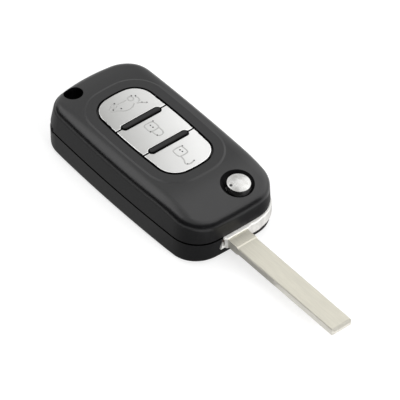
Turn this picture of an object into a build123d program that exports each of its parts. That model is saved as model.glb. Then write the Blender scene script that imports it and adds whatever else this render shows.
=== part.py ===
from build123d import *
from math import asin, degrees, radians, tan
import os

# Flip remote key lying on its back with the blade turned out, millimetres.
# Origin: middle of the whole key's box, on the surface it lies on.
# X runs from the key ring end to the blade's tip, Y to the blade's slot, Z up.

# Housing, the two moulded halves
housing_length = 67.9
housing_width = 33.0
housing_height = 16.6
upper_depth = 9.0
side_bow = 1.0
front_bow = 0.6
rear_bow = 2.5
front_corner = 8.8
pivot_corner = 9.2
near_rear_corner = 7.6
far_rear_corner = 9.4
wall = 1.4
roof = 1.3
floor = 1.3
upper_draft = 2.5
rear_lean = 1.5
lower_draft = 1.2
top_rounding = 2.6
back_rounding = 1.3
inner_rounding = 0.8
crown_radius = 45.0
side_crown_reach = 4.5
side_crown_radius = 6.2
back_flat = 44.0
back_radius = 80.0
seam_groove = 0.35
groove_depth = 0.6
surround_step = 0.15
surround_margin = 3.3
seam_lip = 0.8
lip_clearance = 0.1

# Keypad, three caps in one window
pad_rear_gap = 13.55
pad_front_gap = 18.75
pad_offset = 0.34
pad_width = 17.5
pad_side_bow = 0.7
pad_end_bow = 1.3
pad_corner = 5.8
end_cap_extra = 0.1
cap_gap = 0.42
cap_proud = 0.1
cap_flange = 0.95
cap_flange_thickness = 0.45
cap_edge = 0.2
bar_length = 12.8
bar_width = 1.6
bar_proud = 0.3
bar_clearance = 0.4
button_travel = 0.3
post_radius = 1.3

# Circuit board and what is soldered to it
keypad_depth = 4.05
board_thickness = 1.0
board_clearance = 0.5
switch_side = 4.5
switch_height = 1.6
plunger_radius = 0.9
plunger_proud = 0.4
plunger_depth = 0.45
plunger_clearance = 0.05
mat_web = 0.8
mat_wall = 0.75
chip_length = 6.4
chip_width = 4.4
chip_height = 1.1
crystal_length = 4.2
crystal_width = 2.0
crystal_height = 0.9
coil_length = 7.6
coil_width = 3.2
coil_height = 2.7
coil_gap = 1.15
board_post_radius = 1.1
board_pin_radius = 0.6
board_pin_depth = 1.5
post_inset = 1.15
rear_post_near = -9.5
rear_post_far = 5.6
front_post_near = -10.5
front_post_far = -3.0

# Coin cell and its contacts
cell_diameter = 20.0
cell_height = 3.2
cell_setback = 31.1
cell_offset = -3.9
cell_rim = 1.1
cell_rib_length = 16.0
cell_rib_spacing = 2.4
contact_thickness = 0.3
contact_width = 4.0
contact_clearance = 0.3
contact_gap = 0.5

# Flip mechanism
pivot_setback = 7.0
pivot_offset = 5.5
barrel_radius = 7.6
hub_radius = 5.3
head_play = 0.2
hub_clearance = 0.4
head_reach = 0.85
head_proud = 0.35
lobe_radius = 9.4
head_tail = 1.5
head_cheek = 0.45
head_corner = 0.7
cheek_flare = 1.35
cheek_depth = 1.5
pocket_radius = 4.6
pocket_web = 1.4
boss_radius = 2.4
pivot_clearance = 0.05
anchor_thickness = 0.6
boss_height = 3.5
lug_width = 2.2
lug_reach = 5.2
mechanism_clearance = 0.3
slot_depth = 4.3
ceiling = 1.0

# Release button
button_radius = 3.35
button_sink = 0.1
button_dome_radius = 14.0
button_tilt = 6.0
button_flange = 4.3
flange_depth = 3.7
flange_thickness = 1.2
release_travel = 1.5
release_gap = 0.15
skirt_radius = 2.9
skirt_wall = 0.6
dish_radius = 5.6
dish_depth = 3.9
collar_radius = 6.4
spring_wire = 0.64
spring_radius = 3.6
spring_turns = 4

# Blade, a plain blank
folded_tip_gap = 9.4
blade_offset = 6.75
blade_width = 6.73
blade_thickness = 2.3
blade_bevel = 0.25
tip_bevel = 0.7
neck_thickness = 2.7
neck_reach = 4.1
neck_ramp = 0.4
tip_corner = 0.5
tang_length = 5.4
tang_width = 4.6
pin_radius = 0.75

# Key ring hole and the slot for prying the halves apart
ring_setback = 5.5
ring_offset = -7.4
ring_radius = 2.75
ring_boss = 0.85
pry_height = 1.0
pry_depth = 0.9

# Small sizes of the moulding and the fits
rib = 1.0
lip_thickness = 0.6
window_gap = 0.62
surround_slope = 2.2
surround_root = 0.45
crown_bend = 40.0
spare = 0.5
level_limit = 0.5
mat_margin = 2.0
bar_round = 0.35
switch_corner = 0.3
chip_edge = 0.15
crystal_edge = 0.2
coil_step = 0.3
coil_offset = -6.0
contact_length = 6.0
contact_foot = 1.6
contact_bend = 0.4
dimple_radius = 1.0
arm_shoulder = 1.5
tang_gap = 0.03
pin_setback = 2.8
pin_edge = 0.2
recess_radius = 1.15
recess_width = 0.6
recess_depth = 0.5
button_rim = 0.25
anchor_gap = 0.02
boss_round = 0.4
pry_reach_x = 7.0
pry_reach_y = 6.5

# Places worked out from the sizes above
blade_reach = housing_length - 2 * pivot_setback - folded_tip_gap
overall_length = housing_length + blade_reach
rear_x = -overall_length / 2
ring_x = rear_x + ring_setback
front_x = rear_x + housing_length
tip_x = overall_length / 2
pad_length = housing_length - pad_rear_gap - pad_front_gap
pad_x = rear_x + pad_rear_gap + pad_length / 2
separator_spacing = (pad_length - 2 * end_cap_extra) / 3
pivot_x = front_x - pivot_setback
blade_y = pivot_offset - blade_offset
folded_tip_x = 2 * pivot_x - tip_x
head_front_x = front_x + head_reach
folded_front_x = 2 * pivot_x - head_front_x
seam_height = housing_height - upper_depth
slot_base = seam_height - slot_depth
side_crown_flat = housing_width - 2 * side_crown_reach
head_base = slot_base + mechanism_clearance
head_top = seam_height - head_play
blade_z = (head_base + head_top) / 2
crown_top = housing_height - surround_step
crown_reach = pad_length / 2 + mat_margin
roof_under = crown_top - roof
board_top = roof_under - keypad_depth
cap_top = housing_height + cap_proud
flange_under = roof_under - lip_clearance - cap_flange_thickness
web_top = flange_under - button_travel - lip_clearance
plunger_top = board_top + switch_height + plunger_proud
board_under = board_top - board_thickness
board_rear = ring_x + ring_radius + ring_boss + mechanism_clearance
board_front = pivot_x - collar_radius - board_clearance
cell_x = pivot_x - cell_setback
cell_top = board_under - contact_gap
cell_base = cell_top - cell_height
cap_centres = [-separator_spacing, 0, separator_spacing]
pocket_base = head_base + pocket_web
cell_rib_top = cell_base - contact_thickness
cell_radius = cell_diameter / 2
separators = [-separator_spacing / 2, separator_spacing / 2]
cap_names = ["trunk", "lock", "unlock"]
flange_over = flange_under + cap_flange_thickness
strap = cell_radius + contact_clearance + contact_thickness / 2
coil_x = cell_x + strap + contact_foot + coil_gap + coil_length / 2
arm_low = blade_y - blade_width / 2 - head_cheek
arm_high = blade_y + blade_width / 2 + head_cheek
cheek_front_x = head_front_x - head_corner
cheek_rear_x = cheek_front_x - cheek_depth
recess_y = arm_low - cheek_flare / 2 + recess_width / 4
folded_low = 2 * pivot_offset - arm_high
pin_x = head_front_x - pin_setback
button_top = housing_height - button_sink
flange_top = housing_height - flange_depth
flange_base = flange_top - flange_thickness
hub_top = flange_base - release_travel - hub_clearance
collar_base = hub_top + mechanism_clearance
boss_top = slot_base + boss_height
skirt_base = boss_top + release_travel + mechanism_clearance
anchor_base = pocket_base + anchor_gap
spring_length = flange_base - anchor_base - anchor_thickness - spring_wire
dish_low = housing_height - dish_depth
board_posts = [
    (board_rear + post_inset, rear_post_near),
    (board_rear + post_inset, rear_post_far),
    (board_front - post_inset, front_post_near),
    (board_front - post_inset, front_post_far),
]


def barrel(length, width, bows, rounds, centre_x, centre_y):
    """Rounded rectangle whose four sides bow out, with its own radius at each corner."""
    side, rear, front = bows
    near_rear_round, far_rear_round, near_round, far_round = rounds
    low, high = centre_x - length / 2, centre_x + length / 2
    half = width / 2
    with BuildSketch(Plane.XY, mode=Mode.PRIVATE) as outline:
        with BuildLine():
            near_rear = (low + rear, centre_y - half + side)
            near_front = (high - front, centre_y - half + side)
            far_front = (high - front, centre_y + half - side)
            far_rear = (low + rear, centre_y + half - side)
            ThreePointArc(near_rear, (centre_x, centre_y - half), near_front)
            ThreePointArc(near_front, (high, centre_y), far_front)
            ThreePointArc(far_front, (centre_x, centre_y + half), far_rear)
            ThreePointArc(far_rear, (low, centre_y), near_rear)
        make_face()
        fillet(outline.vertices().sort_by(lambda corner: corner.X + corner.Y)[0], near_rear_round)
        fillet(outline.vertices().sort_by(lambda corner: corner.X - corner.Y)[0], far_rear_round)
        fillet(outline.vertices().sort_by(lambda corner: corner.X - corner.Y)[-1], near_round)
        fillet(outline.vertices().sort_by(lambda corner: corner.X + corner.Y)[-1], far_round)
    return outline.sketch


def housing_outline(inset, lean=0):
    """Plan of the housing at the seam, drawn in by an inset, and further at the rear by a lean."""
    rounds = [corner - inset for corner in (near_rear_corner, far_rear_corner, front_corner, pivot_corner)]
    bows = (side_bow, rear_bow, front_bow)
    middle = rear_x + (housing_length + lean) / 2
    return barrel(housing_length - lean - 2 * inset, housing_width - 2 * inset, bows, rounds, middle, 0)


def pad_outline(grow):
    """Plan of the keypad, let out by a margin."""
    bows = (pad_side_bow, pad_end_bow, pad_end_bow)
    rounds = 4 * [pad_corner + grow]
    return barrel(pad_length + 2 * grow, pad_width + 2 * grow, bows, rounds, pad_x, pad_offset)


def curved_profile(level, flat, radius, sign, middle, reach):
    """The space under a crown (sign 1) or over a rounded back (sign -1), flat in the middle."""
    turn = degrees(asin((reach - flat) / 2 / radius))
    with BuildSketch(mode=Mode.PRIVATE) as profile:
        with BuildLine():
            top = Line((middle - flat / 2, level), (middle + flat / 2, level))
            fore = JernArc(top @ 1, (1, 0), radius, -sign * turn)
            aft = JernArc(top @ 0, (-1, 0), radius, sign * turn)
            rest = level - sign * 2 * housing_height
            Polyline(fore @ 1, ((fore @ 1).X, rest), ((aft @ 1).X, rest), aft @ 1)
        make_face()
    return profile.sketch


def under_crown(inset, depth):
    """The space under the crowned top, lowered by a depth: a cross-section that bends down at both ends."""
    reach = housing_width - 2 * inset + 2 * spare
    section = curved_profile(crown_top - depth, side_crown_flat, side_crown_radius - depth, 1, 0, reach)
    with BuildPart(mode=Mode.PRIVATE) as body:
        with BuildSketch(Plane.YZ.offset(pad_x - crown_reach)):
            add(section)
        extrude(amount=2 * crown_reach)
        for side in (-1, 1):
            end_x = pad_x + side * crown_reach
            with BuildSketch(Plane.YZ.offset(end_x)):
                add(section)
            revolve(axis=Axis((end_x, 0, crown_top - crown_radius), (0, side, 0)), revolution_arc=crown_bend)
    return body.part


def rim(block, sign):
    """Edges where the side wall of a block meets its crowned top, or its rounded back."""
    wall_faces = block.faces().filter_by(lambda face: abs(face.normal_at().Z) < level_limit)
    end_edges = block.faces().filter_by(lambda face: sign * face.normal_at().Z > level_limit).edges()
    return wall_faces.edges().filter_by(lambda edge: any(edge.is_same(other) for other in end_edges))


def upper_block(inset, depth, rounding):
    """The upper half as a solid block, or the space inside it."""
    with BuildPart(mode=Mode.PRIVATE) as block:
        with BuildSketch(Plane.XY.offset(seam_height)):
            add(housing_outline(inset))
        with BuildSketch(Plane.XY.offset(housing_height)):
            drawn_in = (housing_height - seam_height) * tan(radians(upper_draft))
            add(housing_outline(inset + drawn_in, rear_lean))
        loft(ruled=True)
        add(under_crown(inset, depth), mode=Mode.INTERSECT)
        fillet(rim(block, 1), rounding)
    return block.part


def lower_block(inset, depth, rounding):
    """The lower half as a solid block, or the space inside it."""
    middle = rear_x + housing_length / 2
    reach = housing_length + 2 * wall
    with BuildPart(mode=Mode.PRIVATE) as block:
        with BuildSketch(Plane.XY):
            add(housing_outline(inset + seam_height * tan(radians(lower_draft))))
        with BuildSketch(Plane.XY.offset(seam_height)):
            add(housing_outline(inset))
        loft(ruled=True)
        with BuildSketch(Plane.XZ):
            add(curved_profile(depth, back_flat, back_radius - depth, -1, middle, reach))
        extrude(amount=housing_width, both=True, mode=Mode.INTERSECT)
        fillet(rim(block, -1), rounding)
    return block.part


def mechanism_plan(grow, flare=0):
    """Plan of the room that the flip head and the folded blade need, with or without the flared cheek."""
    with BuildSketch(Plane.XY, mode=Mode.PRIVATE) as plan:
        with Locations((pivot_x, pivot_offset)):
            Circle(lobe_radius + grow)
        arm_rear = pivot_x - head_tail - grow
        corner = (front_x + housing_width, housing_width)
        for low_x, low_y, high_x, high_y in (
            (arm_rear, arm_low - grow, corner[0], pivot_offset),
            (cheek_rear_x - grow, arm_low - flare - grow, corner[0], pivot_offset),
            (pivot_x, pivot_offset - grow, corner[0], corner[1]),
            (folded_tip_x - grow, folded_low - grow, pivot_x + grow, corner[1]),
            (folded_front_x - grow, pivot_offset + arm_shoulder - grow, pivot_x, corner[1]),
        ):
            with Locations(((low_x + high_x) / 2, (low_y + high_y) / 2)):
                Rectangle(high_x - low_x, high_y - low_y)
    return plan.sketch


def space(inner, grow, base, top):
    """The room inside a half, less what stands in it for the mechanism and the key ring hole."""
    with BuildPart(mode=Mode.PRIVATE) as room:
        add(inner)
        with BuildSketch(Plane.XY.offset(base)):
            add(mechanism_plan(grow, cheek_flare))
        extrude(amount=top - base, mode=Mode.SUBTRACT)
        with Locations((ring_x, ring_offset, 0)):
            Cylinder(ring_radius + ring_boss, 3 * housing_height, mode=Mode.SUBTRACT)
    return room.part


upper_outer = upper_block(0, 0, top_rounding)
upper_inner = upper_block(wall, roof, top_rounding - wall)
lower_outer = lower_block(0, 0, back_rounding)
lower_inner = lower_block(wall, floor, inner_rounding)
upright = (Align.CENTER, Align.CENTER, Align.MIN)
hanging = (Align.CENTER, Align.CENTER, Align.MAX)

# The slot at the key ring end for prying the halves apart
with BuildPart() as pry_slot:
    with BuildSketch(Plane.XY.offset(seam_height)):
        add(housing_outline(-wall))
        add(housing_outline(pry_depth), mode=Mode.SUBTRACT)
        with Locations((rear_x, -housing_width / 2 + side_bow)):
            Rectangle(2 * pry_reach_x, 2 * pry_reach_y, mode=Mode.INTERSECT)
    extrude(amount=pry_height, both=True)

# Lower half: floor, side wall, blade channel, pivot boss and posts for the board
with BuildPart() as lower_shell:
    add(lower_outer)
    add(space(lower_inner, mechanism_clearance + rib, 0, seam_height), mode=Mode.SUBTRACT)
    with BuildSketch(Plane.XY.offset(slot_base)):
        add(mechanism_plan(mechanism_clearance))
    extrude(amount=seam_height, mode=Mode.SUBTRACT)
    with BuildSketch(Plane.YZ.offset(cheek_rear_x - mechanism_clearance)):
        opening_edge = arm_low - mechanism_clearance
        with BuildLine():
            Polyline((opening_edge, head_top), (opening_edge - cheek_flare, head_base),
                     (opening_edge - cheek_flare, slot_base), (arm_low + rib, slot_base),
                     (arm_low + rib, head_top), close=True)
        make_face()
    extrude(amount=housing_width, mode=Mode.SUBTRACT)
    with BuildSketch(Plane.XY.offset(seam_height)) as lip:
        add(housing_outline(wall - lip_thickness))
        add(housing_outline(wall), mode=Mode.SUBTRACT)
        add(mechanism_plan(mechanism_clearance + rib, cheek_flare), mode=Mode.SUBTRACT)
        with Locations((ring_x, ring_offset)):
            Circle(ring_radius + ring_boss + lip_clearance, mode=Mode.SUBTRACT)
    extrude(amount=seam_lip)
    with Locations((pivot_x, pivot_offset, slot_base)):
        Cylinder(boss_radius, boss_height, align=upright)
    fillet(lower_shell.edges().filter_by_position(Axis.Z, boss_top, boss_top), boss_round)
    with Locations(*[(x, y, floor / 2) for x, y in board_posts]):
        Cylinder(board_post_radius, board_under - floor / 2, align=upright)
    with Locations(*[(x, y, board_under) for x, y in board_posts]):
        Cylinder(board_pin_radius + lip_clearance, board_pin_depth + lip_clearance, align=hanging,
                 mode=Mode.SUBTRACT)
    with Locations(*[(cell_x, cell_offset + side * cell_rib_spacing / 2, floor / 2) for side in (-1, 1)]):
        Box(cell_rib_length, rib, cell_rib_top - floor / 2, align=upright)
    with Locations((ring_x, ring_offset, 0)):
        Cylinder(ring_radius, 3 * housing_height, mode=Mode.SUBTRACT)
    add(pry_slot.part, mode=Mode.SUBTRACT)
    with BuildSketch(Plane.XY.offset(seam_height - seam_groove)) as groove:
        add(housing_outline(-wall))
        add(housing_outline(groove_depth), mode=Mode.SUBTRACT)
    extrude(amount=seam_groove, mode=Mode.SUBTRACT)
lower_shell.part.label = "lower_shell"

# Upper half: crowned roof with the keypad window, release button dish and collar
with BuildPart() as upper_room:
    add(space(upper_inner, mechanism_clearance + rib, 0, seam_height + ceiling))
    with Locations((pivot_x, pivot_offset, collar_base)):
        Cylinder(collar_radius, housing_height, align=upright, mode=Mode.SUBTRACT)
    with Locations(*[(x, y, board_top) for x, y in board_posts]):
        Cylinder(board_post_radius, housing_height, align=upright, mode=Mode.SUBTRACT)

with BuildPart() as keyway:
    with Locations((pivot_x, pivot_offset, 0)):
        Cylinder(lug_reach + release_gap, flange_top + lip_clearance, align=upright)
        Box(3 * lug_reach, lug_width + 2 * lip_clearance, 3 * flange_top, mode=Mode.INTERSECT)

with BuildPart() as upper_shell:
    add(upper_outer)
    with BuildSketch(Plane.XY.offset(crown_top - surround_root)):
        add(pad_outline(surround_margin + surround_slope))
    with BuildSketch(Plane.XY.offset(housing_height)):
        add(pad_outline(surround_margin))
    loft()
    add(upper_room.part, mode=Mode.SUBTRACT)
    add(keyway.part, mode=Mode.SUBTRACT)
    add(pry_slot.part, mode=Mode.SUBTRACT)
    with Locations(*[(x, y, board_top + board_post_radius) for x, y in board_posts]):
        Cylinder(board_pin_radius, board_post_radius + board_thickness + board_pin_depth, align=hanging)
    with BuildSketch(Plane.XY.offset(seam_height)) as rebate:
        add(housing_outline(wall - lip_thickness - lip_clearance))
        add(mechanism_plan(mechanism_clearance + rib - lip_clearance, cheek_flare), mode=Mode.SUBTRACT)
        with Locations((ring_x, ring_offset)):
            Circle(ring_radius + ring_boss, mode=Mode.SUBTRACT)
    extrude(amount=seam_lip + lip_clearance, mode=Mode.SUBTRACT)
    with Locations((pivot_x, pivot_offset, 0)):
        Cylinder(hub_radius + mechanism_clearance, hub_top, align=upright, mode=Mode.SUBTRACT)
        Cylinder(button_radius + release_gap, 2 * housing_height, align=upright, mode=Mode.SUBTRACT)
        Cylinder(button_flange + release_gap, flange_top + lip_clearance, align=upright, mode=Mode.SUBTRACT)
    with Locations((pivot_x, pivot_offset, dish_low + dish_radius)):
        Sphere(dish_radius, mode=Mode.SUBTRACT)
    with Locations((ring_x, ring_offset, 0)):
        Cylinder(ring_radius, 3 * housing_height, mode=Mode.SUBTRACT)
    with BuildSketch(Plane.XY.offset(roof_under - roof)):
        add(pad_outline(window_gap))
    extrude(amount=3 * roof, mode=Mode.SUBTRACT)
upper_shell.part.label = "upper_shell"

# Keypad mat: a silicone boot on the board, with the two raised bars between the caps
with BuildPart() as keypad_mat:
    with BuildSketch(Plane.XY.offset(board_top)):
        add(pad_outline(mat_margin))
        add(pad_outline(mat_margin - mat_wall), mode=Mode.SUBTRACT)
    extrude(amount=roof_under - lip_clearance - board_top)
    with BuildSketch(Plane.XY.offset(web_top - mat_web)):
        add(pad_outline(mat_margin - mat_wall / 2))
        with Locations(*[(pad_x + x, pad_offset) for x in cap_centres]):
            Circle(post_radius + mechanism_clearance, mode=Mode.SUBTRACT)
    extrude(amount=mat_web)
    with BuildSketch(Plane.XY.offset(web_top)):
        with Locations(*[(pad_x + x, pad_offset) for x in separators]):
            SlotOverall(bar_length, bar_width, rotation=90)
    extrude(amount=cap_top + bar_proud - web_top)
    bar_edges = keypad_mat.faces().filter_by(Axis.Z).sort_by(Axis.Z)[-2:].edges()
    fillet(bar_edges, bar_round)
keypad_mat.part.label = "keypad_mat"

# Three button caps, cut from one pad shape, each with a flange under the window's edge and a post
cap_limits = [-pad_length, separators[0], separators[1], pad_length]
caps = {}
for index, name in enumerate(cap_names):
    low = pad_x + cap_limits[index] + cap_gap / 2
    high = pad_x + cap_limits[index + 1] - cap_gap / 2
    with BuildPart() as cap:
        for grow, base, top in ((0, flange_under, cap_top), (cap_flange, flange_under, flange_over)):
            with BuildSketch(Plane.XY.offset(base)):
                add(pad_outline(grow))
                with Locations(((low + high) / 2, pad_offset)):
                    Rectangle(high - low, 2 * pad_width, mode=Mode.INTERSECT)
                with Locations(*[(pad_x + x, pad_offset) for x in separators]):
                    SlotOverall(bar_length + 2 * bar_clearance, bar_width + 2 * bar_clearance, rotation=90,
                                mode=Mode.SUBTRACT)
            extrude(amount=top - base)
        fillet(cap.faces().sort_by(Axis.Z)[-1].edges(), cap_edge)
        with Locations((pad_x + cap_centres[index], pad_offset, flange_under)):
            Cylinder(post_radius, flange_under - plunger_top, align=hanging)
    cap.part.label = name + "_cap"
    caps[name + "_cap"] = cap.part

# Tact switches under the caps, a housing with a plunger that sinks into it
switches = {}
for index, name in enumerate(cap_names):
    switch_top = board_top + switch_height
    place = (pad_x + cap_centres[index], pad_offset)
    with BuildPart() as switch:
        with Locations((*place, board_top)):
            Box(switch_side, switch_side, switch_height, align=upright)
        chamfer(switch.edges().filter_by(Axis.Z), switch_corner)
        chamfer(switch.faces().sort_by(Axis.Z)[-1].edges(), switch_corner / 2)
        with Locations((*place, switch_top)):
            Cylinder(plunger_radius + plunger_clearance, plunger_depth + button_travel + plunger_clearance,
                     align=hanging, mode=Mode.SUBTRACT)
    switch.part.label = name + "_switch"
    switches[name + "_switch"] = switch.part
    with BuildPart() as plunger:
        with Locations((*place, plunger_top)):
            Cylinder(plunger_radius, plunger_proud + plunger_depth, align=hanging)
    plunger.part.label = name + "_plunger"
    switches[name + "_plunger"] = plunger.part

# Circuit board, drilled for the posts
with BuildPart() as circuit_board:
    with BuildSketch(Plane.XY.offset(board_under)):
        add(housing_outline(wall + board_clearance))
        with Locations(((board_rear + board_front) / 2, 0)):
            Rectangle(board_front - board_rear, housing_width, mode=Mode.INTERSECT)
        with Locations(*board_posts):
            Circle(board_pin_radius + lip_clearance, mode=Mode.SUBTRACT)
    extrude(amount=board_thickness)
circuit_board.part.label = "circuit_board"

with BuildPart() as control_chip:
    with Locations((pad_x + separators[0], pad_offset, board_top)):
        Box(chip_width, chip_length, chip_height, align=upright)
    chamfer(control_chip.faces().sort_by(Axis.Z)[-1].edges(), chip_edge)
control_chip.part.label = "control_chip"

with BuildPart() as radio_crystal:
    with BuildSketch(Plane.XY.offset(board_top)):
        with Locations((pad_x + separators[1], pad_offset)):
            SlotOverall(crystal_length, crystal_width, rotation=90)
    extrude(amount=crystal_height)
    fillet(radio_crystal.faces().sort_by(Axis.Z)[-1].edges(), crystal_edge)
radio_crystal.part.label = "radio_crystal"

# Transponder coil: a ferrite bobbin with its winding, under the front of the board
with BuildPart() as transponder_coil:
    with Locations((coil_x, coil_offset, board_under)):
        Box(coil_length, coil_width - 2 * coil_step, coil_height - coil_step, align=hanging)
    ends = [coil_x + side * (coil_length - coil_step) / 2 for side in (-1, 1)]
    with Locations(*[(x, coil_offset, board_under) for x in ends]):
        Box(2 * coil_step, coil_width, coil_height, align=hanging)
transponder_coil.part.label = "transponder_coil"

# Coin cell: the can below, the smaller cap above, with the seal's step between
with BuildPart() as coin_cell:
    with BuildSketch(Plane.XZ) as section:
        with BuildLine():
            Polyline((0, cell_base), (cell_radius, cell_base), (cell_radius, cell_top - cell_rim / 2),
                     (cell_radius - cell_rim, cell_top - cell_rim / 4), (cell_radius - cell_rim, cell_top),
                     (0, cell_top), close=True)
        make_face()
    revolve(axis=Axis.Z)
coin_cell.part = Pos(cell_x, cell_offset, 0) * coin_cell.part
coin_cell.part.label = "coin_cell"

# Positive contact: a strap under the cell, folded up to the board on both sides
with BuildPart() as battery_positive_contact:
    with BuildSketch(Plane.XZ.offset(-cell_offset)):
        with BuildLine():
            foot_z = board_under - contact_thickness / 2
            strap_z = cell_base - contact_thickness / 2
            FilletPolyline((cell_x - strap - contact_foot, foot_z), (cell_x - strap, foot_z),
                           (cell_x - strap, strap_z), (cell_x + strap, strap_z), (cell_x + strap, foot_z),
                           (cell_x + strap + contact_foot, foot_z), radius=contact_bend)
        trace(line_width=contact_thickness)
    extrude(amount=contact_width / 2, both=True)
battery_positive_contact.part.label = "battery_positive_contact"

# Negative contact: a leaf on the board with a dimple that meets the cell
with BuildPart() as battery_negative_contact:
    with Locations((cell_x, cell_offset, board_under)):
        Box(contact_length, contact_width, contact_thickness, align=hanging)
    with Locations((cell_x, cell_offset, cell_top)):
        Cylinder(dimple_radius, contact_gap - contact_thickness, align=upright)
battery_negative_contact.part.label = "battery_negative_contact"

# Flip head: a barrel round the pivot, a lobe that closes the housing's corner, an arm that holds the blade,
# and a hub for the button
with BuildSketch(Plane.XY.offset(head_base)) as lobe:
    add(housing_outline(-head_proud))
    with Locations((pivot_x, pivot_offset)):
        Circle(lobe_radius, mode=Mode.INTERSECT)
    with Locations((pivot_x, pivot_offset - arm_shoulder)):
        Rectangle(housing_width, housing_width, align=(Align.MIN, Align.MIN), mode=Mode.INTERSECT)

with BuildPart() as flip_head:
    with BuildSketch(Plane.XY.offset(head_base)):
        add(lobe.sketch_local)
        with Locations((pivot_x, pivot_offset)):
            Circle(barrel_radius)
        with BuildLine():
            tail_x = pivot_x - head_tail
            shoulder = (front_x + head_proud, pivot_offset - arm_shoulder)
            Polyline((tail_x, pivot_offset), (tail_x, arm_low), (cheek_front_x, arm_low),
                     (head_front_x, arm_low + head_cheek), (head_front_x, arm_high), shoulder,
                     (pivot_x, pivot_offset), close=True)
        make_face()
    extrude(amount=head_top - head_base)
    with BuildSketch(Plane.YZ.offset(cheek_rear_x)):
        with BuildLine():
            Polyline((arm_low, head_top), (arm_low - cheek_flare, head_base), (arm_low + rib, head_base),
                     (arm_low + rib, head_top), close=True)
        make_face()
    extrude(amount=cheek_depth)
    with BuildSketch(Plane.YZ.offset(cheek_front_x)) as recess:
        with Locations((recess_y, blade_z)):
            Circle(recess_radius)
            Rectangle(recess_width, 2 * recess_radius, align=(Align.MIN, Align.CENTER), mode=Mode.INTERSECT)
    extrude(amount=-recess_depth, mode=Mode.SUBTRACT)
    with Locations((pivot_x, pivot_offset, head_base)):
        Cylinder(hub_radius, hub_top - head_base, align=upright)
        Cylinder(boss_radius + pivot_clearance, hub_top, align=upright, mode=Mode.SUBTRACT)
    with Locations((pivot_x, pivot_offset, pocket_base)):
        Cylinder(pocket_radius, hub_top, align=upright, mode=Mode.SUBTRACT)
    with Locations((head_front_x, blade_y, blade_z)):
        Box(2 * (tang_length + tang_gap), tang_width + 2 * tang_gap, neck_thickness + 2 * tang_gap,
            mode=Mode.SUBTRACT)
    with Locations((pin_x, blade_y, blade_z)):
        Cylinder(pin_radius + tang_gap, 2 * head_top, mode=Mode.SUBTRACT)
flip_head.part.label = "flip_head"

# Key blade: tang, thicker neck and plain blade in one strip of steel
half_neck = neck_thickness / 2
half_blade = blade_thickness / 2
shoulder_x = head_front_x + neck_reach
with BuildPart() as key_blade:
    with BuildSketch(Plane.XZ.offset(-blade_y)):
        with BuildLine():
            upper_side = [
                (head_front_x - tang_length, blade_z + half_neck),
                (shoulder_x - neck_ramp, blade_z + half_neck),
                (shoulder_x, blade_z + half_blade),
                (tip_x - tip_bevel, blade_z + half_blade),
                (tip_x, blade_z + half_blade - tip_bevel),
            ]
            lower_side = [(x, 2 * blade_z - z) for x, z in reversed(upper_side)]
            Polyline(*upper_side, *lower_side, close=True)
        make_face()
    extrude(amount=blade_width / 2, both=True)
    long_edges = key_blade.edges().filter_by(Axis.X).sort_by(SortBy.LENGTH)[-4:]
    chamfer(long_edges, blade_bevel)
    tip_edges = key_blade.edges().group_by(Axis.X)[-1].filter_by(Axis.Z)
    chamfer(tip_edges, tip_corner)
    for side in (-1, 1):
        with Locations((head_front_x, blade_y + side * tang_width / 2, blade_z)):
            Box(2 * tang_length, blade_width, 2 * neck_thickness, mode=Mode.SUBTRACT,
                align=(Align.MAX, Align.MIN if side > 0 else Align.MAX, Align.CENTER))
    with Locations((pin_x, blade_y, blade_z)):
        Cylinder(pin_radius + tang_gap, 2 * head_top, mode=Mode.SUBTRACT)
key_blade.part.label = "key_blade"

with BuildPart() as blade_pin:
    with Locations((pin_x, blade_y, blade_z)):
        Cylinder(pin_radius, head_top - head_base - 2 * lip_clearance)
    chamfer(blade_pin.edges(), pin_edge)
blade_pin.part.label = "blade_pin"

# Release button: head with a tilted dome, flange with two lugs, and a skirt inside the spring
with BuildPart() as release_button:
    with BuildSketch(Plane.XZ):
        with BuildLine():
            Polyline((0, housing_height + flange_thickness),
                     (button_radius, housing_height + flange_thickness),
                     (button_radius, flange_top), (button_flange, flange_top), (button_flange, flange_base),
                     (skirt_radius, flange_base), (skirt_radius, skirt_base),
                     (skirt_radius - skirt_wall, skirt_base),
                     (skirt_radius - skirt_wall, flange_base + skirt_wall), (0, flange_base + skirt_wall),
                     close=True)
        make_face()
    revolve(axis=Axis.Z)
    dome_centre = Vector(0, 0, button_top) - Vector(0, 0, button_dome_radius).rotate(Axis.Y, button_tilt)
    with Locations(dome_centre):
        Sphere(button_dome_radius, mode=Mode.INTERSECT)
    fillet(release_button.faces().sort_by(Axis.Z)[-1].edges(), button_rim)
    with BuildSketch(Plane.XY.offset(flange_base)):
        Circle(lug_reach)
        Rectangle(3 * lug_reach, lug_width, mode=Mode.INTERSECT)
        Circle(button_radius, mode=Mode.SUBTRACT)
    extrude(amount=flange_thickness)
release_button.part = Pos(pivot_x, pivot_offset, 0) * release_button.part
release_button.part.label = "release_button"

# Spring anchor: a plate pressed into the head's pocket, round the pivot boss, under the spring
with BuildPart() as spring_anchor:
    with Locations((pivot_x, pivot_offset, anchor_base)):
        Cylinder(pocket_radius - anchor_gap, anchor_thickness, align=upright)
        Cylinder(boss_radius + mechanism_clearance, 3 * anchor_thickness, mode=Mode.SUBTRACT)
spring_anchor.part.label = "spring_anchor"

# Flip spring: a coil from the anchor plate to the button's flange
with BuildPart() as flip_spring:
    with BuildLine():
        coil = Helix(spring_length / spring_turns, spring_length, spring_radius,
                     center=(pivot_x, pivot_offset, anchor_base + anchor_thickness + spring_wire / 2))
    with BuildSketch(Plane(coil @ 0, z_dir=coil % 0)):
        RegularPolygon(spring_wire / 2, 6)
    sweep(is_frenet=True)
flip_spring.part.label = "flip_spring"

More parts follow.
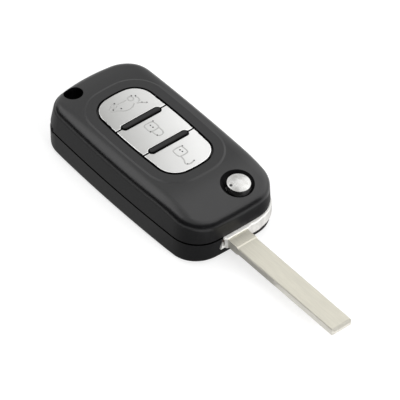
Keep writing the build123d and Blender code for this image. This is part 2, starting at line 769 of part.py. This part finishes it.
pieces = [
    upper_shell.part, lower_shell.part, keypad_mat.part, *caps.values(), *switches.values(),
    circuit_board.part, control_chip.part, radio_crystal.part, transponder_coil.part, coin_cell.part,
    battery_positive_contact.part, battery_negative_contact.part, flip_head.part, key_blade.part,
    blade_pin.part, release_button.part, spring_anchor.part, flip_spring.part,
]
os.makedirs("parts", exist_ok=True)
for piece in pieces:
    export_step(piece, "parts/" + piece.label + ".step")
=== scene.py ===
import bpy
import bmesh
import math
from mathutils import Matrix, Vector


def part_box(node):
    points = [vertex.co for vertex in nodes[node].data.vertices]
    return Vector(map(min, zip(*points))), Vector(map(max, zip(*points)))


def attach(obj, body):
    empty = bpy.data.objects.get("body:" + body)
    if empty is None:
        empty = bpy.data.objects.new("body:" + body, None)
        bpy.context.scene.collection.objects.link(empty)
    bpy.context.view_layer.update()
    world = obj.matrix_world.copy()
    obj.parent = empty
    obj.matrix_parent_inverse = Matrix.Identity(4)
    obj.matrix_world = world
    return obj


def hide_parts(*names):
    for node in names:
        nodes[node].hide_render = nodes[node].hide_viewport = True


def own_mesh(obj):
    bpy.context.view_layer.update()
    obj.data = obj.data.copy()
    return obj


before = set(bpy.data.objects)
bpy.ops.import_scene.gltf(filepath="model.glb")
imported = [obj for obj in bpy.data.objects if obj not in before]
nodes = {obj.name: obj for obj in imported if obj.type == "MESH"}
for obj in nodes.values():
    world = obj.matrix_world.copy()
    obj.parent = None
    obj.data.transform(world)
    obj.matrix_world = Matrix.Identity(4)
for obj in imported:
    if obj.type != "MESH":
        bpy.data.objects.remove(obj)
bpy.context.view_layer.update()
mm = 0.001
print("frame loaded,", len(nodes), "pieces")


class Socket:  # a node's output that can stand in sums
    def __init__(self, nodeTree, plug):
        self.nodeTree = nodeTree
        self.plug = plug

    def __add__(self, other):
        return self.nodeTree.sum("ADD", self, other)

    def __radd__(self, other):
        return self.nodeTree.sum("ADD", other, self)

    def __sub__(self, other):
        return self.nodeTree.sum("SUBTRACT", self, other)

    def __rsub__(self, other):
        return self.nodeTree.sum("SUBTRACT", other, self)

    def __mul__(self, other):
        return self.nodeTree.sum("MULTIPLY", self, other)

    def __rmul__(self, other):
        return self.nodeTree.sum("MULTIPLY", other, self)


class NodeTree:  # the nodes of a material or of the world
    def __init__(self, tree, outputKind):
        self.tree = tree
        self.tree.nodes.clear()
        self.output = self.tree.nodes.new(outputKind)

    def node(self, kind, settings, inputs, output=0):
        made = self.tree.nodes.new(kind)
        for name, value in settings.items():
            setattr(made, name, value)
        self.fill(made, inputs)
        return Socket(self, made.outputs[output])

    def fill(self, made, inputs):
        for name, value in inputs.items():
            if isinstance(value, Socket):
                self.tree.links.new(value.plug, made.inputs[name])
            else:
                made.inputs[name].default_value = value

    def sum(self, operation, first, second=0.0):
        return self.node("ShaderNodeMath", {"operation": operation}, {0: first, 1: second})

    def show(self, shader):  # what the tree ends in
        self.fill(self.output, {"Surface": shader})

    def showEither(self, share, first, second):  # the second shader by its share, the first by the rest
        self.show(self.node("ShaderNodeMixShader", {}, {"Fac": share, 1: first, 2: second}))

    def seenRay(self):  # 1 for what the camera sees, by itself or in metal and glass
        rays = [self.node("ShaderNodeLightPath", {}, {}, name)
                for name in ("Is Camera Ray", "Is Glossy Ray", "Is Transmission Ray")]
        return self.node("ShaderNodeClamp", {}, {"Value": rays[0] + rays[1] + rays[2]})


class Finish(NodeTree):  # the material of a piece, with its surface shader
    def __init__(self, name):
        self.material = bpy.data.materials.new(name)
        self.material.use_nodes = True
        super().__init__(self.material.node_tree, "ShaderNodeOutputMaterial")
        self.surface = self.node("ShaderNodeBsdfPrincipled", {}, {})
        self.show(self.surface)
        self.place = self.node("ShaderNodeTexCoord", {}, {}, "Object")

    def set(self, **inputs):  # sockets of the surface shader, Base_Color for Base Color
        named = {name.replace("_", " "): value for name, value in inputs.items()}
        self.fill(self.surface.plug.node, named)

    def noise(self, perMm, detail=2.0, roughness=0.5, stretch=None):  # so many cells to a millimetre
        where = self.place
        if stretch:
            where = self.node("ShaderNodeMapping", {}, {"Vector": self.place, "Scale": stretch})
        inputs = {"Vector": where, "Scale": perMm / mm, "Detail": detail, "Roughness": roughness}
        return self.node("ShaderNodeTexNoise", {}, inputs, "Fac")

    def grain(self, perMm, stretch=None):  # noise with more of its darkest and lightest tones
        return self.ramp(self.noise(perMm, 2.5, 0.55, stretch), 0.3, 0.7)

    def blend(self, mask, dark, light):  # each colour is three numbers or the output of a node
        dark, light = (shade if isinstance(shade, Socket) else (*shade, 1) for shade in (dark, light))
        return self.node("ShaderNodeMix", {"data_type": "RGBA"}, {"Factor": mask, 6: dark, 7: light}, 2)

    def part(self, vector, axis):  # one number out of a vector
        return self.node("ShaderNodeSeparateXYZ", {}, {0: vector}, axis)

    def facing(self, axis):  # how far a face looks along an axis of its piece
        return self.part(self.node("ShaderNodeTexCoord", {}, {}, "Normal"), axis)

    def ramp(self, value, low, high):  # from 0 at the low value to 1 at the high one
        ends = {"Value": value, "From Min": low, "From Max": high}
        return self.node("ShaderNodeMapRange", {"clamp": True}, ends)

    def bump(self, height, deep, strength):  # deep in millimetres
        inputs = {"Height": height, "Distance": deep * mm, "Strength": strength}
        return self.node("ShaderNodeBump", {}, inputs, "Normal")


# Black plastic of both halves; painted shade, matt black, fills the groove as a band below and above the
# seam's height, in millimetres
shellPlastic = {
    "dark": (0.0034, 0.0034, 0.0038), "light": (0.0052, 0.0052, 0.0058), "cloudPerMm": 0.08,
    "grainPerMm": 3.2, "grainDeep": 0.012, "grainStrength": 0.6,
    "rough": 0.31, "roughSpread": 0.10, "rubPerMm": 0.9, "rubStretch": (1.0, 0.35, 1.0), "gloss": 0.45,
    "grooveBelow": 0.44, "grooveAbove": 0.16, "grooveBlack": (0.001, 0.001, 0.001),
}


def makeShellPlastic():  # the groove between the halves is painted shade, matt black without gloss
    look = shellPlastic
    finish = Finish("shellPlastic")
    grain = finish.noise(look["grainPerMm"], 3.0, 0.6)
    cloud = finish.noise(look["cloudPerMm"])
    rub = finish.noise(look["rubPerMm"], 4.0, 0.65, look["rubStretch"])
    finish.set(Base_Color=finish.blend(cloud, look["dark"], look["light"]),
               Roughness=look["rough"] + (rub - 0.5) * look["roughSpread"],
               Normal=finish.bump(grain, look["grainDeep"], look["grainStrength"]),
               Specular_IOR_Level=look["gloss"])
    height, seam = finish.part(finish.place, "Z"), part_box("upper_shell")[0].z
    # painted shade: a band round the seam is drawn matt black for the shade in the groove
    groove = (finish.sum("GREATER_THAN", height, seam - look["grooveBelow"] * mm)
              * finish.sum("LESS_THAN", height, seam + look["grooveAbove"] * mm))
    matt = {"Base Color": (*look["grooveBlack"], 1), "Roughness": 1.0, "Specular IOR Level": 0.0}
    finish.showEither(groove, finish.surface, finish.node("ShaderNodeBsdfPrincipled", {}, matt))
    return finish.material


# Silver paint of the caps, darker at one end of the keypad and lighter at the other as painted shade and
# light, as X and Y in millimetres; paint and the painted rim highlight start and end so far below the cap's
# top
capSilver = {
    "dark": (0.37, 0.37, 0.36), "light": (0.75, 0.75, 0.74),
    "darkEnd": (-27.8, -11.3), "lightEnd": (-20.2, 8.5),
    "flakePerMm": 9.0, "flakeDeep": 0.002, "flakeStrength": 0.4, "cloudPerMm": 0.15, "mottle": 0.10,
    "metallic": 0.40, "rough": 0.42, "roughSpread": 0.08,
    "bare": (0.004, 0.004, 0.004), "paintFrom": 0.10, "paintTo": 0.04,
    "rim": (0.97, 0.97, 0.96), "rimFrom": 0.02, "rimTo": 0.005,
}


def makeCapSilver():
    look = capSilver
    finish = Finish("capSilver")
    flake = finish.noise(look["flakePerMm"], 1.0)
    cloud = finish.noise(look["cloudPerMm"])
    (darkX, darkY), (lightX, lightY) = look["darkEnd"], look["lightEnd"]
    alongX, alongY = lightX - darkX, lightY - darkY
    span = (alongX ** 2 + alongY ** 2) * mm
    placeX, placeY, placeZ = (finish.part(finish.place, axis) for axis in ("X", "Y", "Z"))
    # painted light and shade: the tone runs from the shaded end to the lit end of the keypad, with real
    # mottle on top
    across = ((placeX - darkX * mm) * alongX + (placeY - darkY * mm) * alongY) * (1 / span)
    tone = finish.ramp(across + (flake - 0.5) * look["mottle"] + (cloud - 0.5) * look["mottle"], 0.0, 1.0)
    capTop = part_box("lock_cap")[1].z
    painted = finish.ramp(placeZ, capTop - look["paintFrom"] * mm, capTop - look["paintTo"] * mm)
    # painted highlight: a near white rim on the rounded edge just below the cap's top
    flat = finish.ramp(placeZ, capTop - look["rimFrom"] * mm, capTop - look["rimTo"] * mm)
    paint = finish.blend(flat, look["rim"], finish.blend(tone, look["dark"], look["light"]))
    finish.set(Base_Color=finish.blend(painted, look["bare"], paint),
               Metallic=painted * look["metallic"],
               Roughness=look["rough"] + (cloud - 0.5) * look["roughSpread"],
               Normal=finish.bump(flake, look["flakeDeep"], look["flakeStrength"]))
    return finish.material


# Rubber of the mat; the bars between the caps are grey out to the core and black from the edge, the black
# being painted shade; they are straight to so many millimetres from the middle of the key
matRubber = {
    "bare": (0.001, 0.001, 0.001), "top": (0.010, 0.010, 0.0105),
    "core": 0.40, "edge": 0.52, "straight": 5.6,
    "grainPerMm": 2.5, "grainDeep": 0.006, "grainStrength": 0.6,
    "rough": 0.5, "roughSpread": 0.1, "gloss": 0.25,
}


def makeMatRubber():
    look = matRubber
    finish = Finish("matRubber")
    trunkEnd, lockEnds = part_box("trunk_cap")[1].x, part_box("lock_cap")
    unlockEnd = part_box("unlock_cap")[0].x
    bars = ((trunkEnd + lockEnds[0].x) / 2, (lockEnds[1].x + unlockEnd) / 2)
    placeX, placeY = (finish.part(finish.place, axis) for axis in ("X", "Y"))
    aside = finish.sum("MINIMUM", *(finish.sum("ABSOLUTE", placeX - bar) for bar in bars))
    beyond = finish.sum("MAXIMUM", finish.sum("ABSOLUTE", placeY) - look["straight"] * mm)
    away = finish.sum("SQRT", aside * aside + beyond * beyond)
    # painted shade: the bars turn black from the core out to the edge, for the shade in the gaps beside them
    edge = finish.ramp(away, look["core"] * mm, look["edge"] * mm)
    grain = finish.noise(look["grainPerMm"], 2.5, 0.55)
    finish.set(Base_Color=finish.blend(edge, look["top"], look["bare"]),
               Roughness=look["rough"] + (grain - 0.5) * look["roughSpread"],
               Normal=finish.bump(grain, look["grainDeep"], look["grainStrength"]),
               Specular_IOR_Level=look["gloss"])
    return finish.material


# Plated metal of the flip head: a bright strip of painted highlight down to so far below the seam's height,
# and brown painted shade in the recess beside the blade's root, on faces that look forward, so far behind
# the front and in from the open side
headMetal = {
    "wallDark": (0.62, 0.61, 0.59), "wallLight": (0.78, 0.77, 0.74), "grainPerMm": 0.6, "grainDeep": 0.004,
    "grainStrength": 0.6, "metallic": 0.15, "rough": 0.34, "roughSpread": 0.08,
    "strip": (1.0, 0.99, 0.96), "stripHigh": 0.95, "stripSoft": 0.1,
    "recess": (0.07, 0.052, 0.042), "recessBack": 0.75, "recessFromSide": 1.75, "recessFacing": 0.5,
}


def makeHeadMetal():
    look = headMetal
    finish = Finish("headMetal")
    low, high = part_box("flip_head")
    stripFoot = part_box("upper_shell")[0].z - look["stripHigh"] * mm
    placeX, placeY, placeZ = (finish.part(finish.place, axis) for axis in ("X", "Y", "Z"))
    grain = finish.grain(look["grainPerMm"])
    # painted highlight: near white above the strip's foot
    strip = finish.ramp(placeZ, stripFoot, stripFoot + look["stripSoft"] * mm)
    # painted shade, brown, in the recess beside the blade's root
    recess = (finish.sum("LESS_THAN", placeX, high.x - look["recessBack"] * mm)
              * finish.sum("LESS_THAN", placeY, low.y + look["recessFromSide"] * mm)
              * finish.sum("GREATER_THAN", finish.facing("X"), look["recessFacing"]) * (1 - strip))
    wall = finish.blend(grain, look["wallDark"], look["wallLight"])
    finish.set(Base_Color=finish.blend(recess, finish.blend(strip, wall, look["strip"]), look["recess"]),
               Metallic=look["metallic"], Roughness=look["rough"] + (grain - 0.5) * look["roughSpread"],
               Normal=finish.bump(grain, look["grainDeep"], look["grainStrength"]))
    return finish.material


# The other finishes, two tones of one grain; deep is its relief in millimetres, and the wall tones give the
# tones of faces that look less upward, painted light on the blade's sides and painted shade on the release
# button's
plainFinishes = {
    "plungerPlastic": {"dark": (0.55, 0.52, 0.42), "light": (0.62, 0.59, 0.49), "perMm": 1.5, "rough": 0.5},
    "switchPlastic": {"dark": (0.012, 0.012, 0.012), "light": (0.02, 0.02, 0.02), "perMm": 2.0,
                      "rough": 0.45, "deep": 0.004},
    "boardLaminate": {"dark": (0.008, 0.075, 0.03), "light": (0.014, 0.11, 0.045), "perMm": 0.9,
                      "rough": 0.3},
    "chipResin": {"dark": (0.01, 0.01, 0.011), "light": (0.022, 0.022, 0.024), "perMm": 6.0, "rough": 0.6,
                  "deep": 0.004},
    "crystalCan": {"dark": (0.6, 0.6, 0.58), "light": (0.72, 0.72, 0.7), "perMm": 2.0, "rough": 0.28,
                   "metallic": 1.0},
    "coilBlock": {"dark": (0.03, 0.022, 0.02), "light": (0.055, 0.04, 0.035), "perMm": 3.0, "rough": 0.5,
                  "deep": 0.01},
    "cellSteel": {"dark": (0.6, 0.6, 0.58), "light": (0.7, 0.7, 0.68), "perMm": 1.2, "rough": 0.3,
                  "metallic": 1.0, "deep": 0.002, "stretch": (1, 6, 1)},
    "contactSteel": {"dark": (0.62, 0.61, 0.56), "light": (0.72, 0.71, 0.66), "perMm": 1.2, "rough": 0.32,
                     "metallic": 1.0, "deep": 0.002, "stretch": (0.3, 6, 6)},
    "bladeSteel": {"dark": (0.52, 0.50, 0.43), "light": (0.58, 0.56, 0.48), "perMm": 0.8, "rough": 0.42,
                   "metallic": 0.5, "deep": 0.003, "stretch": (0.25, 4, 4),
                   # painted light: the blade's sides lighter than its top
                   "walls": {"dark": (0.60, 0.58, 0.52), "light": (0.70, 0.68, 0.62),
                             "from": 0.5, "to": 0.85}},
    "buttonChrome": {"dark": (0.42, 0.415, 0.40), "light": (0.56, 0.56, 0.55), "perMm": 0.55, "rough": 0.26,
                     "metallic": 0.65,
                     # painted shade: the button's sides near black
                     "walls": {"dark": (0.01, 0.01, 0.01), "light": (0.10, 0.10, 0.10),
                               "from": 0.6, "to": 0.9}},
    "springSteel": {"dark": (0.3, 0.3, 0.3), "light": (0.42, 0.42, 0.42), "perMm": 1.5, "rough": 0.35,
                    "metallic": 1.0, "deep": 0.002},
    "signSilver": {"dark": (0.34, 0.34, 0.33), "light": (0.44, 0.44, 0.43), "perMm": 6.0, "rough": 0.42,
                   "metallic": 0.4, "deep": 0.002},
    # near black for the keyholes in print, for painted shade at the signs' lines and for a painted dark
    # reflection
    "signBlack": {"dark": (0.02, 0.02, 0.02), "light": (0.05, 0.05, 0.05), "perMm": 6.0, "rough": 0.8},
}


def makePlain(name, dark, light, perMm, rough, metallic=0.0, deep=0.0, stretch=None, walls=None):
    finish = Finish(name)
    grain = finish.grain(perMm, stretch)
    colour = finish.blend(grain, dark, light)
    # painted light and shade: faces that look less upward take the wall tones
    if walls:
        upward = finish.ramp(finish.facing("Z"), walls["from"], walls["to"])
        colour = finish.blend(upward, finish.blend(grain, walls["dark"], walls["light"]), colour)
    finish.set(Base_Color=colour, Metallic=metallic, Roughness=rough + (grain - 0.5) * 0.08)
    if deep:
        finish.set(Normal=finish.bump(grain, deep, 0.6))
    return finish.material


shell = makeShellPlastic()
silver = makeCapSilver()
plain = {name: makePlain(name, **look) for name, look in plainFinishes.items()}
finishes = {
    "upper_shell": shell, "lower_shell": shell, "keypad_mat": makeMatRubber(), "flip_head": makeHeadMetal(),
    "key_blade": plain["bladeSteel"], "release_button": plain["buttonChrome"],
    "blade_pin": plain["springSteel"], "spring_anchor": plain["springSteel"],
    "flip_spring": plain["springSteel"],
    "circuit_board": plain["boardLaminate"], "control_chip": plain["chipResin"],
    "radio_crystal": plain["crystalCan"], "transponder_coil": plain["coilBlock"],
    "coin_cell": plain["cellSteel"], "battery_positive_contact": plain["contactSteel"],
    "battery_negative_contact": plain["contactSteel"],
}
for button in ("trunk", "lock", "unlock"):
    finishes[button + "_cap"] = silver
    finishes[button + "_plunger"] = plain["plungerPlastic"]
    finishes[button + "_switch"] = plain["switchPlastic"]
for name, material in finishes.items():
    nodes[name].data.materials.clear()
    nodes[name].data.materials.append(material)
print("finishes made")


def addPiece(name, mesh, material, body):
    bmesh.ops.recalc_face_normals(mesh, faces=mesh.faces)
    data = bpy.data.meshes.new(name)
    mesh.to_mesh(data)
    mesh.free()
    for face in data.polygons:
        face.use_smooth = True
    data.materials.append(material)
    piece = bpy.data.objects.new(name, data)
    bpy.context.scene.collection.objects.link(piece)
    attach(piece, body)
    return piece


# Signs on the caps, thin raised lines and low black dots, in millimetres; the dots inside the padlocks are
# keyholes in print, the others painted shade at the lines' ends and bends
signLine = {"wide": 0.42, "high": 0.08, "sunk": 0.01, "rounds": 2, "wheelRadius": 0.85, "wheelSteps": 10,
            "dotRadius": 0.23, "dotHigh": 0.1, "dotSteps": 20, "dotTop": 0.75}
# Places from the middle of the cap's top, first toward the blade, then across; a closed line comes back to
# its start
padlock = [(-3.2, -1.0), (-2.7, -1.5), (-0.5, -1.5), (0.0, -1.0), (0.0, 1.3), (-0.5, 1.8), (-2.7, 1.8),
           (-3.2, 1.3)]
signs = {
    "trunk": {
        "wheels": [(-1.65, -2.84), (-1.35, 2.66)],
        "closed": [],
        "open": [[(-1.75, -4.2), (-1.3, -4.9), (-0.1, -4.7), (0.3, -3.0), (1.7, -1.5), (1.8, 0.9),
                  (0.7, 2.3)],
                 [(-1.75, -1.5), (-1.6, 1.3)],
                 [(-1.3, 4.1), (-0.6, 4.6), (0.7, 4.3), (0.7, 3.6)],
                 [(1.0, 2.9), (1.6, 4.1), (2.7, 5.2)]],
        "dots": [(-2.18, 3.55), (-1.46, 4.43), (-2.57, -2.05), (-0.8, -3.84), (0.1, -1.77), (1.64, 4.19),
                 (2.49, 5.23)]},
    "lock": {
        "wheels": [],
        "closed": [padlock],
        "open": [[(0.0, -0.95), (1.7, -0.95), (2.55, -0.3), (2.55, 0.9), (1.7, 1.55), (0.0, 1.55)]],
        "dots": [(-2.2, 0.26), (-1.2, 0.31), (-3.1, 1.85), (1.97, -0.72), (-0.2, -1.35)]},
    "unlock": {
        "wheels": [],
        "closed": [padlock],
        "open": [[(0.0, -0.95), (1.6, -1.1), (2.9, -1.9), (3.7, -1.3), (3.75, 0.1), (3.35, 0.8)]],
        "dots": [(-2.15, 0.46), (-1.25, 0.56), (-3.0, 1.9), (3.4, -1.42), (3.45, 0.8)]},
}


def ringOf(place, radius, steps):  # points round a circle
    turns = [step * math.tau / steps for step in range(steps)]
    return [(place[0] + radius * math.cos(turn), place[1] + radius * math.sin(turn)) for turn in turns]


def between(start, end, share):
    return tuple((1 - share) * one + share * other for one, other in zip(start, end))


def cutCorners(path, closed):  # each round swaps a corner for two shallower ones
    for _ in range(signLine["rounds"]):
        ends = zip(path, path[1:] + path[:1]) if closed else zip(path, path[1:])
        softer = [between(start, end, share) for start, end in ends for share in (0.25, 0.75)]
        path = softer if closed else [path[0], *softer, path[-1]]
    return path


def addLine(mesh, path, closed, middle):  # a low rounded ridge that follows the path
    half, high, sunk = signLine["wide"] / 2, signLine["high"], signLine["sunk"]
    section = [(-half, -sunk), (-0.6 * half, 0.8 * high), (0, high), (0.6 * half, 0.8 * high), (half, -sunk)]
    rows = []
    for spot, (x, y) in enumerate(path):
        before = path[spot - 1] if closed or spot else path[spot]
        after = path[(spot + 1) % len(path)] if closed or spot < len(path) - 1 else path[spot]
        along = Vector((after[0] - before[0], after[1] - before[1])).normalized()
        rows.append([mesh.verts.new(middle + Vector((x - along.y * side, y + along.x * side, up)) * mm)
                     for side, up in section])
    pairs = list(zip(rows, rows[1:])) + ([(rows[-1], rows[0])] if closed else [])
    for one, other in pairs:
        for spot in range(len(section) - 1):
            mesh.faces.new((one[spot], other[spot], other[spot + 1], one[spot + 1]))
    if not closed:
        mesh.faces.new(rows[0][::-1])
        mesh.faces.new(rows[-1])


def addDot(mesh, place, radius, high, middle):  # a flat-topped disc with a sloping edge
    foot, top = ([mesh.verts.new(middle + Vector((x, y, up)) * mm)
                  for x, y in ringOf(place, radius * share, signLine["dotSteps"])]
                 for share, up in ((1.0, -signLine["sunk"]), (signLine["dotTop"], high)))
    for spot in range(signLine["dotSteps"]):
        after = (spot + 1) % signLine["dotSteps"]
        mesh.faces.new((foot[spot], foot[after], top[after], top[spot]))
    mesh.faces.new(top)


def makeSign(name, sign):
    low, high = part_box(name + "_cap")
    middle = Vector(((low.x + high.x) / 2, (low.y + high.y) / 2, high.z))
    lines = bmesh.new()
    wheels = [ringOf(place, signLine["wheelRadius"], signLine["wheelSteps"]) for place in sign["wheels"]]
    for path in wheels + sign["closed"]:
        addLine(lines, cutCorners(path, True), True, middle)
    for path in sign["open"]:
        addLine(lines, cutCorners(path, False), False, middle)
    addPiece(name + "Sign", lines, plain["signSilver"], name + "_button")
    # the dots: keyholes in print, and painted shade at the lines' ends and bends
    dots = bmesh.new()
    for place in sign["dots"]:
        addDot(dots, place, signLine["dotRadius"], signLine["dotHigh"], middle)
    addPiece(name + "Keyhole", dots, plain["signBlack"], name + "_button")


for name, sign in signs.items():
    makeSign(name, sign)
print("signs on the caps made")


# A small black disc on the chrome of the release button, a painted dark reflection, laid where a ray from
# above meets the dome
releaseDent = {"fromPivot": (-0.35, -2.5), "radius": 0.46, "high": 0.015}


def makeReleaseDent():
    low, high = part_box("release_button")
    aside = Vector((*releaseDent["fromPivot"], 1.0)) * mm
    above = Vector(((low.x + high.x) / 2, (low.y + high.y) / 2, high.z)) + aside
    landed, facing = nodes["release_button"].ray_cast(above, Vector((0, 0, -1)))[1:3]
    dent = bmesh.new()
    addDot(dent, (0, 0), releaseDent["radius"], releaseDent["high"], Vector((0, 0, 0)))
    tilted = Matrix.Translation(landed) @ facing.to_track_quat("Z", "Y").to_matrix().to_4x4()
    bmesh.ops.transform(dent, matrix=tilted, verts=dent.verts)
    addPiece("releaseDent", dent, plain["signBlack"], "release")


makeReleaseDent()
print("dent made")


# The flip spring in round wire, in millimetres
flipSpring = {"wire": 0.64, "turns": 4, "stepsPerTurn": 36, "sides": 12, "pressed": 1.5}


def makeFlipSpring():
    low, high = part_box("flip_spring")
    thick = flipSpring["wire"] / 2 * mm
    middle = Vector(((low.x + high.x) / 2, (low.y + high.y) / 2, low.z + thick))
    radius = (high.y - low.y) / 2 - thick
    climb = high.z - low.z - 2 * thick
    perTurn, sides = flipSpring["stepsPerTurn"], flipSpring["sides"]
    steps = flipSpring["turns"] * perTurn
    wire = bmesh.new()
    rings = []
    for step in range(steps + 1):
        turn = step * math.tau / perTurn
        outward = Vector((math.cos(turn), math.sin(turn), 0))
        centre = middle + outward * radius + Vector((0, 0, climb * step / steps))
        rings.append([wire.verts.new(centre + outward * across + Vector((0, 0, up)))
                      for across, up in ringOf((0, 0), thick, sides)])
    for one, other in zip(rings, rings[1:]):
        for side in range(sides):
            after = (side + 1) % sides
            wire.faces.new((one[side], one[after], other[after], other[side]))
    wire.faces.new(rings[0][::-1])
    wire.faces.new(rings[-1])
    spring = addPiece("roundSpring", wire, plain["springSteel"], "blade_unit")
    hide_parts("flip_spring")
    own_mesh(spring)


makeFlipSpring()
print("flip spring made")


def linkMesh(name, mesh, material):
    data = bpy.data.meshes.new(name)
    mesh.to_mesh(data)
    mesh.free()
    data.materials.append(material)
    made = bpy.data.objects.new(name, data)
    bpy.context.scene.collection.objects.link(made)
    return made


def rectangle(wide, tall):
    mesh = bmesh.new()
    corners = ((-1, -1), (1, -1), (1, 1), (-1, 1))
    mesh.faces.new([mesh.verts.new((x * wide / 2, y * tall / 2, 0)) for x, y in corners])
    return mesh


# White ground and background, in metres; the ground is a hair below the key, so that they don't flicker
# where they touch, and its glow shows only to rays that the camera sees, by itself or in metal and glass
ground = {"size": 3.0, "height": -0.00005, "colour": (0.92, 0.92, 0.92), "glowShare": 0.48, "glow": 1.4}
sky = {"ambient": 0.40, "seen": 1.0}


def makeGround():
    finish = Finish("floorPaper")
    finish.set(Base_Color=(*ground["colour"], 1), Roughness=0.9, Specular_IOR_Level=0.0)
    glow = finish.node("ShaderNodeEmission", {}, {"Strength": ground["glow"]})
    finish.showEither(finish.seenRay() * ground["glowShare"], finish.surface, glow)
    floor = linkMesh("floor", rectangle(ground["size"], ground["size"]), finish.material)
    floor.location.z = ground["height"]


def makeSky():
    world = bpy.data.worlds.new("studio")
    world.use_nodes = True
    bpy.context.scene.world = world
    tree = NodeTree(world.node_tree, "ShaderNodeOutputWorld")
    strength = sky["ambient"] + tree.seenRay() * (sky["seen"] - sky["ambient"])
    tree.show(tree.node("ShaderNodeBackground", {}, {"Color": (1, 1, 1, 1), "Strength": strength}))


# Soft lamps aimed at the key, places and sizes in metres, power in watts
lamps = {
    "above": {"at": (0.10, 0.35, 0.95), "size": (1.2, 1.2), "power": 3.2},
    "keyRingEnd": {"at": (-0.65, -0.10, 0.75), "size": (0.7, 0.7), "power": 2.6},
    "bladeSide": {"at": (0.95, 0.0, 0.35), "size": (0.5, 0.3), "power": 8.0},
}


def makeLamps():
    for name, lamp in lamps.items():
        data = bpy.data.lights.new(name, "AREA")
        data.shape = "RECTANGLE"
        data.size, data.size_y = lamp["size"]
        data.energy = lamp["power"]
        made = bpy.data.objects.new(name, data)
        made.location = lamp["at"]
        made.rotation_euler = (-Vector(lamp["at"])).to_track_quat("-Z", "Y").to_euler()
        made.visible_glossy = False
        bpy.context.scene.collection.objects.link(made)


# Sheets that only reflections see, like white and black card hung round a glossy thing, in metres; the
# ground one is a painted shadow of the floor, and it fades from its first glow to its second between two
# values of X
cards = {
    "overhead": {"at": (-0.60, -0.30, 0.86), "size": (0.9, 0.9), "glow": 2.3},
    "farSide": {"at": (0.10, 0.75, 0.66), "size": (1.2, 1.2), "glow": 2.1},
    "overFront": {"at": (0.35, 0.50, 0.90), "size": (0.60, 0.60), "glow": 1.7},
    # painted shadow: a grey sheet under the key that reflections see as the floor's shadow, darker toward
    # the front
    "ground": {"at": (-0.036, -0.0125, 0.0006), "size": (0.130, 0.075), "glow": 0.9, "level": True,
               "fade": ((0.026, 0.044), (0.40, 0.40, 0.40), (0.22, 0.22, 0.22))},
}
# The black one stands round the key from one heading to another, in degrees
curtain = {"radius": 1.4, "foot": 0.002, "height": 1.9, "from": -165, "to": 45, "steps": 30}
sheetBlack = (0.004, 0.004, 0.004)


def hang(name, sheet, glow, fade=None):
    finish = Finish(name + "Sheet")
    finish.set(Base_Color=(*sheetBlack, 1), Roughness=1.0, Specular_IOR_Level=0.0,
               Emission_Color=(1, 1, 1, 1), Emission_Strength=glow)
    if fade:
        (start, end), rear, front = fade
        share = finish.ramp(finish.part(finish.place, "X"), start, end)
        finish.set(Emission_Color=finish.blend(share, rear, front))
    made = linkMesh(name, sheet, finish.material)
    made.visible_camera = False
    made.visible_diffuse = False
    made.visible_shadow = False
    return made


def makeCards():
    for name, card in cards.items():
        made = hang(name, rectangle(*card["size"]), card["glow"], card.get("fade"))
        made.location = card["at"]
        if "level" not in card:
            made.rotation_euler = (-Vector(card["at"])).to_track_quat("Z", "Y").to_euler()


def makeCurtain():
    ring = bmesh.new()
    posts = []
    for step in range(curtain["steps"] + 1):
        share = step / curtain["steps"]
        turn = math.radians(curtain["from"] + (curtain["to"] - curtain["from"]) * share)
        x, y = curtain["radius"] * math.cos(turn), curtain["radius"] * math.sin(turn)
        posts.append([ring.verts.new((x, y, z)) for z in (curtain["foot"], curtain["height"])])
    for one, other in zip(posts, posts[1:]):
        ring.faces.new((one[0], other[0], other[1], one[1]))
    hang("curtain", ring, 0.0)


# Camera, fitted to the photograph: turn, tilt and roll in degrees, distances in millimetres. It looks so
# that the middle of the keypad, a little below the caps' top, lies at its pixel
viewpoint = {"turn": 50.95, "tilt": 43.45, "roll": 0.26, "away": 1500.0, "pixelsPerMm": 3.69,
             "keypadPixel": (154.82, 130.39), "keypadBelow": 0.1, "pictureSize": 400, "sensorWidth": 36.0,
             "clip": (0.05, 20.0)}


def makeCamera():
    low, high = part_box("lock_cap")
    target = Vector(((low.x + high.x) / 2, (low.y + high.y) / 2, high.z - viewpoint["keypadBelow"] * mm))
    turn, tilt, roll = (math.radians(viewpoint[key]) for key in ("turn", "tilt", "roll"))
    back = Vector((math.sin(turn) * math.cos(tilt), -math.cos(turn) * math.cos(tilt), math.sin(tilt)))
    level = Vector((math.cos(turn), math.sin(turn), 0))
    upward = back.cross(level)
    right = level * math.cos(roll) + upward * math.sin(roll)
    up = upward * math.cos(roll) - level * math.sin(roll)
    aside, below = ((viewpoint["pictureSize"] / 2 - pixel) / viewpoint["pixelsPerMm"]
                    for pixel in viewpoint["keypadPixel"])
    eye = target + back * viewpoint["away"] * mm
    aim = target + (right * aside - up * below) * mm
    backward = (eye - aim).normalized()
    right = (right - backward * right.dot(backward)).normalized()
    up = backward.cross(right)
    data = bpy.data.cameras.new("camera")
    data.sensor_width = viewpoint["sensorWidth"]
    perPixel = viewpoint["sensorWidth"] / viewpoint["pictureSize"]
    data.lens = perPixel * viewpoint["away"] * viewpoint["pixelsPerMm"]
    data.clip_start, data.clip_end = viewpoint["clip"]
    camera = bpy.data.objects.new("camera", data)
    camera.matrix_world = Matrix.Translation(eye) @ Matrix((right, up, backward)).transposed().to_4x4()
    bpy.context.scene.collection.objects.link(camera)
    bpy.context.scene.camera = camera


makeGround()
makeSky()
makeLamps()
makeCards()
makeCurtain()
makeCamera()
bpy.context.scene.view_settings.view_transform = "Standard"
print("camera, lamps and ground made")
